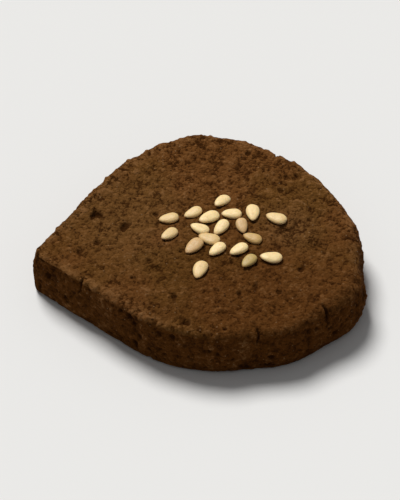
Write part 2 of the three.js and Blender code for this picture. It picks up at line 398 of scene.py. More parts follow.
@dataclass
class CookieSlice(Part):
    """The slice of baked dough."""

    slot: ClassVar[str] = "crumb"

    # The plain form.
    corners: tuple[Corner, ...] = (
        Corner(-27.0, -3.0, 2.0),
        Corner(-3.5, -22.0, 22.0),
        Corner(15.0, -20.0, 11.5),
        Corner(26.5, -11.0, 6.5),
        Corner(25.5, 11.5, 22.5),
        Corner(-2.5, 27.5, 17.0),
    )
    thickness: float = 9.6
    fall: float = 0.6
    half_width: float = 26.0
    half_depth: float = 21.5
    crisp_edge: float = 0.8
    soft_edge: float = 2.6
    blunt_edge: float = 1.56
    softest: float = math.radians(-6)
    foot_edge: float = 0.9
    bulge: float = 0.4

    # Lumps and crumb.
    lumps: tuple[Lump, ...] = (Lump(12, 0.45), Lump(3.6, 0.28))
    flat_below: float = 1.6
    crumbs: tuple[Lump, ...] = (Lump(2.3, 0.08), Lump(1.15, 0.09), Lump(0.62, 0.08))
    grains: tuple[Strewn, ...] = (
        Strewn(Draw.COARSE_GRAINS, 1.35, 0.65, (0.35, 0.7), 0.19),
        Strewn(Draw.FINE_GRAINS, 0.8, 0.8, (0.26, 0.45), 0.15),
    )
    grain_mean: float = 0.09
    pinholes: Strewn = Strewn(Draw.PINHOLES, 1.6, 0.45, (0.22, 0.5), 0.45)
    wall_pits: Strewn = Strewn(Draw.WALL_PITS, 1.9, 0.6, (0.4, 0.9), 0.75)
    raggedness: Lump = Lump(0.65, 0.4)
    streak: Lump = Lump(1.1, 0.14)
    streak_stretch: float = 5.0

    # How the relief changes from the foot over the wall to the top.
    foot_relief: tuple[float, float] = (0.35, 1.1)
    top_relief: tuple[float, float] = (1.0, 1.15)
    over_edge: float = 0.5
    top_slope: tuple[float, float] = (0.2, 0.7)
    wall_slope: tuple[float, float] = (0.3, 0.9)

    # The rim of the top: its drags, its lip, and where it is painted pale, partly as wear and partly as a
    # painted highlight.
    fringe: Lump = Lump(0.9, 0.16)
    fringe_stretch: float = 3.5
    fringe_reach: float = 3.6
    lip_height: float = 0.16
    lip_inset: float = 0.9
    rim_wear_and_highlight: tuple[float, float] = (1.1, 0.9)
    wear_and_highlight_band: tuple[float, float] = (-13.0, -3.0)
    wear_and_highlight_share: tuple[float, float] = (0.1, 0.8)

    # The depth and the height that the finish takes as full.
    fully_open: float = 0.45
    fully_proud: float = 0.22

    # Pores and cracks.
    pore_depth: float = 0.35
    large_pores: tuple[Pore, ...] = (
        Pore(-16.2, 4.6, 2.4, 1.6, 20),
        Pore(-11.4, 2.2, 2.0, 1.5, 60),
        Pore(-6.6, 4.6, 1.4, 1.1, 0),
        Pore(-18.6, -3.1, 1.5, 1.1, 45),
        Pore(-15.9, -1.4, 1.2, 1.0, 0),
        Pore(16.5, -7.1, 1.8, 1.2, 80),
        Pore(-3.6, -13.2, 2.6, 0.9, 95),
        Pore(9.3, -10.7, 2.4, 0.9, 80),
    )
    small_pore_length: tuple[float, float] = (0.8, 1.5)
    small_pore_width: tuple[float, float] = (0.7, 1.0)
    pores_on_top: int = 20
    pores_on_side: int = 18
    pore_reach: float = 0.9
    pore_band: tuple[float, float] = (0.3, 0.8)
    seed_patch: tuple[float, float, float, float] = (4.2, 0.0, 11.5, 9.5)
    cracks: tuple[Crack, ...] = (
        Crack(0.295, 3.4, 3.8, 0.45),
        Crack(0.38, 2.4, 5.5, 0.45),
        Crack(0.08, 1.8, 3.0, 0.35),
        Crack(0.66, 2.4, 3.4, 0.40),
    )
    crack_depth: float = 1.3
    wander: Lump = Lump(1.6, 0.35)

    # How fine the mesh is.
    cells: int = 180
    foot_rows: int = 5
    wall_rows: int = 27
    edge_rows: int = 10

    def __post_init__(self) -> None:
        """Works out the outline."""
        self.outline = Outline(self.corners)

    # -- the plain form

    def edge_radius(self, points: Array) -> Array:
        """The radius of the top edge at points of the outline: crisp on the left, soft on the right."""
        angle = np.arctan2(points[..., 1], points[..., 0])
        softness = (1 + np.cos(angle - self.softest)) / 2
        return lerp(self.crisp_edge, self.soft_edge, softness**2)

    def plain_top(self, places: Array) -> Array:
        """The height of the plain top: a shallow bowl turned over, highest in the middle."""
        across = places[..., 0] / self.half_width
        along = places[..., 1] / self.half_depth
        return self.thickness - self.fall * (across**2 + along**2)

    def unevenness(self, places: Array) -> Array:
        """How far the lumps of the dough stand out from the plain form at points of it."""
        total = sum(lump.height * noise(Draw.LUMPS, places / lump.size) for lump in self.lumps)
        return total * smoothstep(places[..., 2], 0, self.flat_below)

    def top_at(self, spots: Array) -> Array:
        """Points of the lumpy top over spots on it."""
        places = lifted(spots, self.plain_top(spots))
        places[..., 2] += self.unevenness(places)
        return places

    def side_at(self, around: Array, slope: Array, up: Array) -> Surface:
        """The plain side: round the foot, up the bulging wall and over the top edge.

        The wall bulges by a half sine of its height. The foot and the top edge are quarter circles.

        Args:
            around: shares of the way round.
            slope: the angle at which the side faces, from straight down to straight up.
            up: the share of the wall's height, used where the slope is level.

        Returns:
            The surface.
        """
        points, outwards = self.outline.at(around)
        radius = self.edge_radius(points)
        top = self.plain_top(points - outwards * radius[..., None])
        bend = 1 - np.cos(slope)
        on_foot = slope < 0
        on_edge = slope > 0
        inset = np.where(on_foot, self.foot_edge * bend, -self.bulge * np.sin(np.pi * up))
        inset = np.where(on_edge, radius * bend, inset)
        height = np.where(
            on_foot,
            self.foot_edge * (1 + np.sin(slope)),
            lerp(self.foot_edge, top - radius, up),
        )
        height = np.where(on_edge, top - radius * (1 - np.sin(slope)), height)
        places = lifted(points - outwards * inset[..., None], height)
        return Surface(places, lifted(outwards * np.cos(slope)[..., None], np.sin(slope)))

    def side_rows(self) -> Surface:
        """The whole plain side as rows of points, from the resting face up to the top."""
        quarter = np.pi / 2
        foot = np.linspace(-quarter, 0, self.foot_rows + 1)[:-1]
        edge = np.linspace(0, quarter, self.edge_rows + 1)[1:]
        slope = np.concatenate([foot, np.zeros(self.wall_rows + 1), edge])
        up = np.concatenate([foot * 0, np.linspace(0, 1, self.wall_rows + 1), edge * 0])
        around = np.arange(4 * self.cells) / (4 * self.cells)
        shape = (len(slope), len(around))
        return self.side_at(
            np.broadcast_to(around, shape),
            np.broadcast_to(slope[:, None], shape),
            np.broadcast_to(up[:, None], shape),
        )

    def square_grid(self) -> tuple[Array, Array]:
        """A square whose rings stand for rings of the outline, so its cells stay alike all over.

        Returns:
            The ring of each point, from 0 at the middle to 1 at the rim, and its share of the way
            round, which walks the square's four sides by eighths.
        """
        step = np.linspace(-1, 1, self.cells + 1)
        v, u = np.meshgrid(step, step, indexing="ij")
        ring = np.maximum(np.abs(u), np.abs(v))
        safe = np.where(ring == 0, 1, ring)
        eighths = np.select(
            [u == ring, v == ring, u == -ring], [1 + v / safe, 3 - u / safe, 5 - v / safe], 7 + u / safe
        )
        return ring, eighths / 8

    def inside(self, inset: Array | float) -> Array:
        """Spots all over the outline drawn in by an inset, one for each point of the square grid."""
        ring, around = self.square_grid()
        points, outwards = self.outline.at(around)
        return (points - outwards * np.asarray(inset)[..., None]) * ring[..., None]

    # -- the crumb

    def top_pores(self) -> list[Pore]:
        """Every pore of the top: the larger ones, and the small ones outside the patch of seeds."""
        index = np.arange(self.pores_on_top, dtype=float)
        points, _ = self.outline.at(chance(Draw.TOP_PORES, index, 4))
        spots = points * (self.pore_reach * np.sqrt(chance(Draw.TOP_PORES, index, 5)))[:, None]
        x, y, half_width, half_depth = self.seed_patch
        outside = np.hypot((spots[:, 0] - x) / half_width, (spots[:, 1] - y) / half_depth) >= 1
        length, width = self.small_pore_sizes(Draw.TOP_PORES, index)
        turn = 180 * chance(Draw.TOP_PORES, index, 3)
        small = np.stack([spots[:, 0], spots[:, 1], length, width, turn], axis=1)[outside]
        return [*self.large_pores, *(Pore(*row) for row in small.tolist())]

    def small_pore_sizes(self, draw: Draw, index: Array) -> tuple[Array, Array]:
        """The lengths and widths of the small pores, by chance."""
        length = lerp(*self.small_pore_length, chance(draw, index, 1) ** 2)
        return length, length * lerp(*self.small_pore_width, chance(draw, index, 2))

    def side_pores(self) -> tuple[Array, Array, Array, Array]:
        """Where the pores of the side are, which way they face, and their lengths and widths."""
        index = np.arange(self.pores_on_side, dtype=float)
        around = chance(Draw.SIDE_PORES, index, 4)
        up = lerp(*self.pore_band, chance(Draw.SIDE_PORES, index, 5))
        wall = self.side_at(around, around * 0, up)
        places = wall.places + wall.facing * self.unevenness(wall.places)[:, None]
        return places, wall.facing, *self.small_pore_sizes(Draw.SIDE_PORES, index)

    def hollows(self, surface: Surface, places: Array, ragged: Array) -> Array:
        """How deep the pores are at points of the lumpy dough.

        A pore is half of an ellipsoid with a ragged rim.

        Args:
            surface: the plain form of the points.
            places: the points themselves, with their lumps.
            ragged: how much each point's distances are drawn out or in.

        Returns:
            The depth at each point.
        """
        depth = np.zeros(places.shape[:-1])
        on_top = surface.facing[..., 2] > self.over_edge
        for pore in self.top_pores():
            turn = math.radians(pore.turn)
            along, across = turned(places[..., 0] - pore.x, places[..., 1] - pore.y, turn)
            reach = np.hypot(along / (pore.length / 2), across / (pore.width / 2)) * ragged
            depth = np.maximum(depth, np.where(on_top, bowl(reach, pore.width * self.pore_depth), 0))
        on_side = np.abs(surface.facing[..., 2]) < self.over_edge
        for place, facing, length, width in zip(*self.side_pores()):
            offset = places - place
            along = offset[..., 2]
            across = offset[..., 1] * facing[0] - offset[..., 0] * facing[1]
            inwards = (offset * facing).sum(axis=-1)
            reach = np.sqrt((along * 2 / length) ** 2 + (across * 2 / width) ** 2 + inwards**2) * ragged
            depth = np.maximum(depth, np.where(on_side, bowl(reach, width * self.pore_depth), 0))
        return depth

    def clefts(self, places: Array) -> Array:
        """How deep the cracks are at points of the dough.

        A crack is a thin blade that stands across the top edge: |a| / reach + |b| / gape + |c| / drop
        is under 1 inside it, with a, b and c measured in, across and down, and its line wanders.
        """
        depth = np.zeros(places.shape[:-1])
        wander = self.wander.height * noise(Draw.STREAKS, places / self.wander.size)
        for crack in self.cracks:
            point, outwards = self.outline.at(np.array(crack.around))
            offset = places[..., :2] - point
            inwards = np.abs(offset @ outwards) / crack.reach
            across = np.abs(offset @ np.array([-outwards[1], outwards[0]]) + wander) / crack.gape
            down = np.abs(places[..., 2] - self.plain_top(point)) / crack.drop
            depth = np.maximum(depth, self.crack_depth * np.clip(1 - inwards - across - down, 0, 1))
        return depth

    def baked(self, surface: Surface, seeds: "SesamePinch") -> tuple[Array, dict[str, Array]]:
        """The finished surface of the dough.

        Args:
            surface: the plain form.
            seeds: the pinch of seeds, which press shallow dents into the top.

        Returns:
            Its points, and what the finish reads at each: how open and how proud the dough is, how
            far it faces sideways, how near it is to the rim where that is painted pale, partly as wear
            and partly as a painted highlight, and how far it faces down.
        """
        places = surface.places + surface.facing * self.unevenness(surface.places)[..., None]
        upright = surface.facing[..., 2]
        wall = surface.wall
        on_top = smoothstep(upright, *self.top_slope)
        inland = self.inland(places)
        crisp = 1 - smoothstep(self.edge_radius(places), self.crisp_edge, self.blunt_edge)
        fine = self.crumb(places, wall) + self.drags(places, inland) * on_top
        openness = self.openings(surface, places)
        relief = np.where(upright < 0, lerp(*self.foot_relief, wall), lerp(*self.top_relief, wall))
        total = fine * relief - openness
        lip = self.lip_height * bell(inland, self.lip_inset, self.lip_inset)
        total += (lip * crisp - seeds.dents(places)) * (upright > self.over_edge)
        total = np.where(upright < 0, np.minimum(total, 0), total)
        points = places + surface.facing * total[..., None]
        points[..., 2] = np.maximum(points[..., 2], 0)
        # The rim is painted pale, partly as wear and partly as a painted highlight: fully where the edge
        # is crisp, and a little less all along it behind the front.
        least, behind = self.wear_and_highlight_share
        wear_and_highlight = np.maximum(crisp, behind * smoothstep(places[..., 1], *self.wear_and_highlight_band))
        marks = {
            "open": np.clip(openness / self.fully_open, 0, 1),
            "proud": np.clip(fine / self.fully_proud, -1, 1),
            "side": wall,
            "rim": bell(inland, *self.rim_wear_and_highlight) * on_top * lerp(least, 1, wear_and_highlight),
            "foot": np.clip(-upright, 0, 1),
        }
        return points, marks

    def crumb(self, places: Array, wall: Array) -> Array:
        """How far the fine crumb stands out at points of the dough.

        It is noise of three sizes, grains strewn through it, and streaks down the wall, which are
        noise drawn out upwards. The grains' mean height is taken off.

        Args:
            places: the points.
            wall: how far the dough faces sideways there.

        Returns:
            The height at each point.
        """
        height = sum(lump.height * noise(Draw.CRUMB, places / lump.size) for lump in self.crumbs)
        height += sum(grains.at(places) for grains in self.grains) - self.grain_mean
        stretch = np.array([1, 1, 1 / self.streak_stretch]) / self.streak.size
        return height + self.streak.height * noise(Draw.STREAKS, places * stretch) * wall

    def openings(self, surface: Surface, places: Array) -> Array:
        """How deep the dough is open at points of it: its pores, cracks, pinholes and wall pits.

        Their rims are ragged, because noise draws the distances out or in.

        Args:
            surface: the plain form of the points.
            places: the points themselves, with their lumps.

        Returns:
            The depth at each point.
        """
        ragged = 1 + self.raggedness.height * noise(Draw.PINHOLES, places / self.raggedness.size)
        depth = self.hollows(surface, places, ragged) + self.clefts(places)
        depth += self.pinholes.at(places, ragged)
        return depth + self.wall_pits.at(places, ragged) * smoothstep(surface.wall, *self.wall_slope)

    def inland(self, places: Array) -> Array:
        """The distance in from the outline at points of the slice, measured towards its middle."""
        rim, _ = self.outline.at(np.linspace(0, 1, 4 * self.cells, endpoint=False))
        bearing = np.arctan2(rim[:, 1], rim[:, 0])
        angle = np.arctan2(places[..., 1], places[..., 0])
        here = np.interp(angle, bearing, np.hypot(rim[:, 0], rim[:, 1]), period=2 * np.pi)
        return here - np.hypot(places[..., 0], places[..., 1])

    def drags(self, places: Array, inland: Array) -> Array:
        """Short crumbly drags that run in from the rim of the top, where the slice was cut.

        They are noise on a drum round the slice, drawn out inwards, and fade as exp(-inland / reach).
        """
        drum = unit(places[..., :2] + NUDGE) * self.half_width
        drawn = lifted(drum, inland / self.fringe_stretch)
        fade = np.exp(-np.maximum(inland, 0) / self.fringe_reach)
        return self.fringe.height * noise(Draw.STREAKS, drawn / self.fringe.size) * fade

    def faces(self) -> Array:
        """The faces of the top, the side and the resting face, which share their rims.

        Points are numbered row by row: the top's grid, the resting face's grid, then the side's rows
        between the two rims.
        """
        n = self.cells
        across = n + 1
        grid = np.arange(across * across).reshape(across, across)
        rim = np.concatenate([grid[:-1, -1], grid[-1, :0:-1], grid[:0:-1, 0], grid[0, :-1]])
        low, high = grid[:-1, :-1], grid[1:, 1:]
        top = np.stack([low, grid[:-1, 1:], high, grid[1:, :-1]], axis=-1).reshape(-1, 4)
        foot = top[:, ::-1] + grid.size
        rows = self.foot_rows + self.wall_rows + self.edge_rows - 1
        between = 2 * grid.size + np.arange(rows * 4 * n).reshape(rows, 4 * n)
        rings = np.concatenate([(rim + grid.size)[None], between, rim[None]])
        after = np.roll(rings, -1, axis=1)
        side = np.stack([rings[:-1], after[:-1], after[1:], rings[1:]], axis=-1).reshape(-1, 4)
        return np.concatenate([top, foot, side])

    def build(self, seeds: "SesamePinch") -> bpy.types.Object:
        """The slice as one closed mesh.

        Args:
            seeds: the pinch of seeds on it.

        Returns:
            The piece, before it is set over the frame's origin.
        """
        ring, around = self.square_grid()
        points, _ = self.outline.at(around)
        top_spots = self.inside(self.edge_radius(points)).reshape(-1, 2)
        foot_spots = self.inside(np.full(ring.shape, self.foot_edge)).reshape(-1, 2)
        level = np.zeros(len(foot_spots))
        up = lifted(np.zeros(foot_spots.shape), level + 1)
        top = Surface(lifted(top_spots, self.plain_top(top_spots)), up)
        foot = Surface(lifted(foot_spots, level), -up)
        side = self.side_rows()
        between = Surface(side.places[1:-1].reshape(-1, 3), side.facing[1:-1].reshape(-1, 3))
        plain = top.joined(foot).joined(between)
        baked, marks = self.baked(plain, seeds)
        return spread_mesh("cookie_slice", baked, self.faces(), marks)


# ------------------------------------------------------------------------------------------- seeds


@dataclass
class SesamePinch(Part):
    """The hulled sesame seeds on the top."""

    slot: ClassVar[str] = "sesame"

    # Where the seeds lie, by chance about their rows.
    rows: tuple[SeedRow, ...] = (
        SeedRow(7.0, 4.2, 4.2, 1),
        SeedRow(4.0, -4.4, 12.9, 6),
        SeedRow(2.0, 0.2, 7.0, 3),
        SeedRow(-0.6, -4.1, 9.0, 3),
        SeedRow(-2.9, -0.8, 6.4, 3),
        SeedRow(-5.4, 8.5, 12.2, 2),
        SeedRow(-7.2, 0.9, 0.9, 1),
    )
    mostly: float = math.radians(45)
    either: float = math.radians(70)
    shift: float = 0.7
    size: float = 0.1
    pitch: float = math.radians(8)
    sunk: float = 0.3

    # The form of one seed.
    length: float = 3.4
    width: float = 2.0
    thickness: float = 1.0
    taper: float = 0.25
    blunt: float = 0.88
    pointed: float = 1.2
    squareness: float = 2.3
    edge_width: float = 0.16
    edge_ridge: float = 0.035
    hollow: float = 0.14
    hollow_middle: float = -0.1
    hollow_reach: tuple[float, float] = (math.sqrt(0.2), 0.4)
    bend: float = 0.12
    wave_size: float = 0.9
    waves: tuple[float, float] = (0.05, 0.06)
    wave_places: tuple[float, float] = (0.3, 7.7)

    # The dents under the seeds.
    dent_depth: float = 0.2
    dent_rim: tuple[float, float] = (0.9, 1.25)

    # How fine the mesh is.
    steps_long: int = 28
    steps_round: int = 24

    def spots(self) -> tuple[Array, Array, Array]:
        """Where the seeds lie.

        Returns:
            The middle of each seed on the top, its turn from +X, and its share of the usual size.
        """
        spots = np.array(
            [
                (lerp(row.start, row.end, k / max(row.seeds - 1, 1)), row.y)
                for row in self.rows
                for k in range(row.seeds)
            ]
        )
        index = np.arange(len(spots), dtype=float)
        shift = np.stack([either_way(Draw.SEED_SHIFT, index, j) for j in (1, 2)], axis=1)
        turn = self.mostly + self.either * either_way(Draw.SEED_TURN, index)
        size = 1 + self.size * either_way(Draw.SEED_FORM, index, 1)
        return spots + self.shift * shift, turn, size

    def dents(self, places: Array) -> Array:
        """How deep the seeds press into the top at points of it: a soft-edged ellipse under each."""
        depth = np.zeros(places.shape[:-1])
        for spot, turn, size in zip(*self.spots()):
            along, across = turned(places[..., 0] - spot[0], places[..., 1] - spot[1], turn)
            reach = np.hypot(along / (self.length * size / 2), across / (self.width * size / 2))
            depth = np.maximum(depth, self.dent_depth * (1 - smoothstep(reach, *self.dent_rim)))
        return depth

    def one(self) -> tuple[Array, Array, Array, Array]:
        """One seed along X, 2 long, 2 wide and 2 thick, to be scaled.

        Along it, x = -cos(t) for t from 0 to pi, and the half width is sin(t) ** p times
        1 - taper * cos(t), narrow at one end, where a higher p draws it out to a tip. Round it, the
        section is a squarish oval with a faint ridge along both edges, and both faces are hollowed
        a little in the middle.

        Returns:
            The points by ring, how far along each is, how far across, and how near the flat edge.
        """
        t = np.linspace(0, np.pi, self.steps_long + 1)[:, None]
        angle = np.linspace(0, 2 * np.pi, self.steps_round, endpoint=False)[None]
        power = lerp(self.blunt, self.pointed, ((1 + np.cos(t)) / 2) ** 2)
        half = np.clip(np.sin(t), 0, 1) ** power * (1 - self.taper * np.cos(t))
        cosine, sine = np.cos(angle), np.sin(angle)
        power = self.squareness
        squarish = (np.abs(cosine) ** power + np.abs(sine) ** power) ** (-1 / power)
        edge = bell(sine, 0, self.edge_width)
        ridge = 1 + self.edge_ridge * edge * np.sin(t)
        x = np.broadcast_to(-np.cos(t), (len(t), angle.shape[1]))
        y = half * squarish * cosine * ridge
        reach, width = self.hollow_reach
        hollow = 1 - self.hollow * bell(x, self.hollow_middle, reach) * bell(y, 0, width)
        z = half * squarish * sine * hollow
        along = np.broadcast_to(t / np.pi, x.shape)
        across = np.broadcast_to(cosine * np.sign(sine), x.shape)
        return np.stack([x, y, z], axis=-1), along, across, np.broadcast_to(edge, x.shape)

    def laid(self, form: Array, dough: CookieSlice) -> Array:
        """The points of every seed where it lies.

        The one form is scaled and waved by noise, bent sideways by the square of the distance from
        its middle, pitched, turned, and set a little into the top.

        Args:
            form: the one seed's points by ring.
            dough: the slice that the seeds lie on.

        Returns:
            The points by seed and ring.
        """
        spots, turn, size = self.spots()
        index = np.arange(len(spots), dtype=float)
        thickness = np.full_like(size, self.thickness)
        scale = np.stack([self.length * size, self.width * size, thickness], axis=1) / 2
        seed = form[None] * scale[:, None, None]
        waves = [
            height * noise(Draw.SEED_FORM, seed / self.wave_size + shift)
            for height, shift in zip(self.waves, self.wave_places)
        ]
        bend = either_way(Draw.SEED_FORM, index, 4)[:, None, None] * self.bend
        seed[..., 1] += bend * (form[..., 0] ** 2)[None] + waves[0]
        seed[..., 2] += waves[1]
        pitch = self.pitch * either_way(Draw.SEED_FORM, index, 2)
        x, y, z = (seed[..., axis] for axis in range(3))
        x, z = turned(x, z, pitch[:, None, None])
        x, y = turned(x, y, -turn[:, None, None])
        middle = dough.top_at(spots)
        middle[:, 2] += self.thickness * (0.5 - self.sunk)
        return np.stack([x, y, z], axis=-1) + middle[:, None, None]

    def build(self, dough: CookieSlice) -> bpy.types.Object:
        """Every seed in one mesh.

        Args:
            dough: the slice that they lie on.

        Returns:
            The piece, before it is set over the frame's origin.
        """
        form, along, across, edge = self.one()
        seed = self.laid(form, dough)
        number = np.arange(seed[..., 0].size).reshape(seed.shape[:3])
        after = np.roll(number, -1, axis=2)
        faces = np.stack([number[:, :-1], after[:, :-1], after[:, 1:], number[:, 1:]], axis=-1)
        index = np.arange(len(seed), dtype=float)
        tint = chance(Draw.SEED_TINT, index, 1)[:, None, None]
        hue = chance(Draw.SEED_HUE, index, 2)[:, None, None]
        marks = {"tint": tint, "hue": hue, "along": along, "across": across, "edge": edge}
        marks = {name: np.broadcast_to(mark, number.shape).ravel() for name, mark in marks.items()}
        piece = spread_mesh("sesame_seeds", seed.reshape(-1, 3), faces.reshape(-1, 4), marks)
        weld(piece)
        return piece


def weld(piece: bpy.types.Object) -> None:
    """Closes the seeds' tips, where a whole ring of points lies on one spot."""
    form = bmesh.new()
    form.from_mesh(piece.data)
    bmesh.ops.remove_doubles(form, verts=form.verts, dist=WELD * MM)
    bmesh.ops.recalc_face_normals(form, faces=form.faces)
    form.to_mesh(piece.data)
    form.free()


# ---------------------------------------------------------------------------------------- finishes


@dataclass(frozen=True)
class Ramp:
    """An ease from one value to another: start where what it reads is at low, end where at high."""

    low: float
    high: float
    end: float = 1.0
    start: float = 0.0


class Sheet:
    """Adds nodes to a node tree and links what they read."""

    def __init__(self, tree: bpy.types.NodeTree) -> None:
        """Takes over an empty tree."""
        self.tree = tree
        tree.nodes.clear()

    def add(self, kind: str, inputs: dict | None = None, **settings: object) -> bpy.types.Node:
        """Adds a node.

        Args:
            kind: the node's type, without ShaderNode.
            inputs: what goes into its sockets, by name or number: a value, or a socket to link.
            settings: its other settings.

        Returns:
            The node.
        """
        node = self.tree.nodes.new("ShaderNode" + kind)
        for setting, value in settings.items():
            setattr(node, setting, value)
        for socket, value in (inputs or {}).items():
            if isinstance(value, bpy.types.NodeSocket):
                self.tree.links.new(value, node.inputs[socket])
            else:
                node.inputs[socket].default_value = value
        return node

    def group(self, tree: bpy.types.NodeTree, inputs: dict) -> object:
        """Places a node group and gives its outputs."""
        return self.add("Group", inputs, node_tree=tree).outputs

    def math(self, operation: str, *values: object) -> bpy.types.NodeSocket:
        """The result of a Math node."""
        return self.add("Math", dict(enumerate(values)), operation=operation).outputs[0]

    def blend(self, *parts: tuple[bpy.types.NodeSocket, float]) -> bpy.types.NodeSocket:
        """Values added by their weights."""
        total, weight = parts[0]
        total = self.math("MULTIPLY", total, weight)
        for value, weight in parts[1:]:
            total = self.add("Math", {0: value, 1: weight, 2: total}, operation="MULTIPLY_ADD").outputs[0]
        return total

    def ease(self, value: object, ramp: Ramp) -> bpy.types.NodeSocket:
        """A value eased along a ramp."""
        inputs = {0: value, 1: ramp.low, 2: ramp.high, 3: ramp.start, 4: ramp.end}
        return self.add("MapRange", inputs, interpolation_type="SMOOTHSTEP").outputs[0]

    def mix(self, share: object, first: object, second: object, blend: str = "MIX") -> object:
        """A colour mixed from two by a share."""
        first, second = ((*part, 1) if isinstance(part, tuple) else part for part in (first, second))
        inputs = {0: share, 6: first, 7: second}
        return self.add("Mix", inputs, data_type="RGBA", blend_type=blend).outputs[2]

    def coat(self, under: object, over: Colour, mask: object, ramp: Ramp) -> object:
        """A colour with another laid over it by a mask's ramp."""
        return self.mix(self.ease(mask, ramp), under, over)

    def mark(self, name: str) -> bpy.types.NodeSocket:
        """One of the piece's own attributes."""
        return self.add("Attribute", attribute_name=name).outputs["Fac"]


def open_group(
    name: str, inputs: dict[str, str], outputs: dict[str, str]
) -> tuple[Sheet, object, object]:
    """An empty shader node group.

    Args:
        name: its name.
        inputs: the kind of each input socket, by name.
        outputs: the kind of each output socket, by name.

    Returns:
        The sheet to draw on, its input node's sockets and its output node.
    """
    group = bpy.data.node_groups.new(name, "ShaderNodeTree")
    for way, sockets in (("INPUT", inputs), ("OUTPUT", outputs)):
        for socket, kind in sockets.items():
            group.interface.new_socket(socket, in_out=way, socket_type="NodeSocket" + kind)
    sheet = Sheet(group)
    given = group.nodes.new("NodeGroupInput").outputs
    result = group.nodes.new("NodeGroupOutput")
    return sheet, given, result


def cell_pattern(sheet: Sheet, given: object) -> tuple[object, object]:
    """The cells of a Voronoi pattern: each cell's random number, and the distance from its middle."""
    cell = sheet.add("TexVoronoi", {"Vector": given["Vector"], "Scale": given["Per Metre"]}, feature="F1")
    luck = sheet.add("SeparateColor", {0: cell.outputs["Color"]}).outputs[0]
    return luck, cell.outputs["Distance"]


def speckle_group() -> bpy.types.NodeTree:
    """Round specks strewn through a material: how much of a speck each point is, from 0 to 1.

    A Voronoi cell holds a speck if its random number is under the share. The speck fills the cell
    out to 0.6 of a radius and fades out to the whole of it, in shares of the spacing.
    """
    inputs = {"Vector": "Vector", "Per Metre": "Float", "Share": "Float", "Radius": "Float"}
    sheet, given, result = open_group("speckle", inputs, {"Mask": "Float"})
    luck, distance = cell_pattern(sheet, given)
    chosen = sheet.math("LESS_THAN", luck, given["Share"])
    inner = sheet.math("MULTIPLY", given["Radius"], 0.6)
    fade = {"Value": distance, "From Min": inner, "From Max": given["Radius"]}
    body = sheet.add("MapRange", {**fade, "To Min": 1.0, "To Max": 0.0}).outputs[0]
    sheet.tree.links.new(sheet.math("MULTIPLY", chosen, body), result.inputs["Mask"])
    return sheet.tree


def grain_group() -> bpy.types.NodeTree:
    """Fine grain: two sizes of noise added, about 0 at its middle, for a bump or a tint."""
    inputs = {"Vector": "Vector", "Per Metre": "Float", "Fine Share": "Float"}
    sheet, given, result = open_group("fine_grain", inputs, {"Height": "Float"})
    sizes = []
    for times, detail in ((1.0, 2.0), (2.7, 3.0)):
        per_metre = sheet.math("MULTIPLY", given["Per Metre"], times)
        feed = {"Vector": given["Vector"], "Scale": per_metre, "Detail": detail, "Roughness": 0.6}
        sizes.append(sheet.math("SUBTRACT", sheet.add("TexNoise", feed).outputs[0], 0.5))
    finer = sheet.math("MULTIPLY", sizes[1], given["Fine Share"])
    sheet.tree.links.new(sheet.math("ADD", sizes[0], finer), result.inputs["Height"])
    return sheet.tree


def sand_group() -> bpy.types.NodeTree:
    """Packed grains of sand: each Voronoi cell is a grain with a tone of its own and a domed top.

    The tone is the cell's random number, less a half. The height falls from 0 with the distance
    from the grain's middle.
    """
    inputs = {"Vector": "Vector", "Per Metre": "Float"}
    sheet, given, result = open_group("packed_sand", inputs, {"Tone": "Float", "Height": "Float"})
    luck, distance = cell_pattern(sheet, given)
    sheet.tree.links.new(sheet.math("SUBTRACT", luck, 0.5), result.inputs["Tone"])
    sheet.tree.links.new(sheet.math("MULTIPLY", distance, -1.0), result.inputs["Height"])
    return sheet.tree


def open_material(name: str) -> tuple[bpy.types.Material, Sheet]:
    """An empty material and the sheet to draw on."""
    made = bpy.data.materials.new(name)
    made.use_nodes = True
    return made, Sheet(made.node_tree)


def coat_surface(sheet: Sheet, inputs: dict[str, object]) -> None:
    """Ends a material with its shader."""
    shader = sheet.add("BsdfPrincipled", inputs)
    sheet.add("OutputMaterial", {"Surface": shader.outputs[0]})


@dataclass(frozen=True)
class Specks:
    """How many specks there are to a metre, the share of cells with one, their radius and strength."""

    per_metre: float
    share: float
    radius: float
    strength: float


@dataclass(frozen=True)
class Patch:
    """A patch of another colour: its middle in metres, and its ramp on the distance from there."""

    middle: tuple[float, float, float]
    ramp: Ramp


